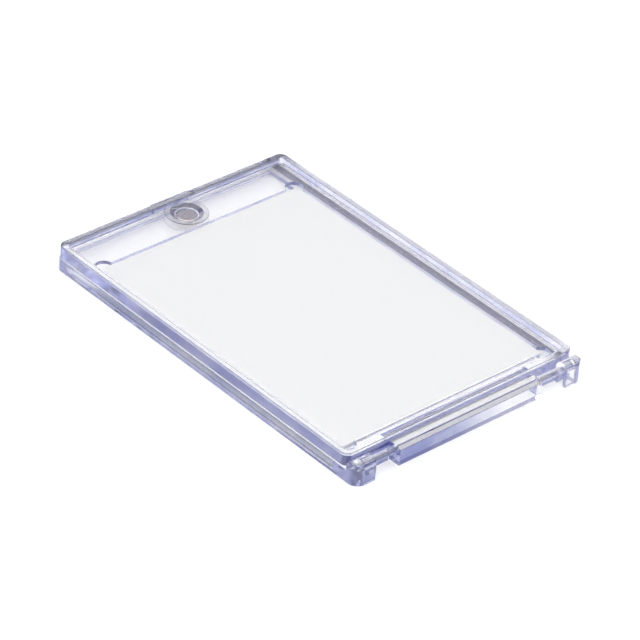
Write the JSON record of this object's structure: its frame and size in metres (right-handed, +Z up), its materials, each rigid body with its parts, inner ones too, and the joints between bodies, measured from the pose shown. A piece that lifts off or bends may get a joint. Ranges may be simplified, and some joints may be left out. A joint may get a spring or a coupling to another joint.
{
  "type": "magnetic card holder",
  "caption": "Clear hinged card holder: a tray with a card well under a rimmed window cover that swings on moulded trunnions and is held shut by magnets.",
  "frame": {"origin": "on the surface that the holder lies on, under the middle of its outline", "axes": "+Z up through the cover, +Y from the hinge to the magnets, +X across the holder"},
  "size_m": [0.0728, 0.112, 0.0071],
  "materials": {
    "tray_plastic": "clear polished polystyrene with a faint violet-blue tint",
    "cover_plastic": "clear polished polystyrene with a faint violet-blue tint",
    "magnet_plating": "bright nickel plating on a disc magnet",
    "card_stock": "smooth pale grey card, unprinted"
  },
  "bodies": {
    "base": {"base_tray": "tray_plastic", "base_magnet": "magnet_plating", "blank_card": "card_stock"},
    "lid": {"cover": "cover_plastic", "cover_magnet": "magnet_plating"}
  },
  "joints": [
    {"name": "cover_hinge", "type": "hinge", "parent": "base", "child": "lid", "pos_m": [0, -0.05415, 0.0045], "axis": [1, 0, 0], "range_deg": [0, 180]}
  ]
}
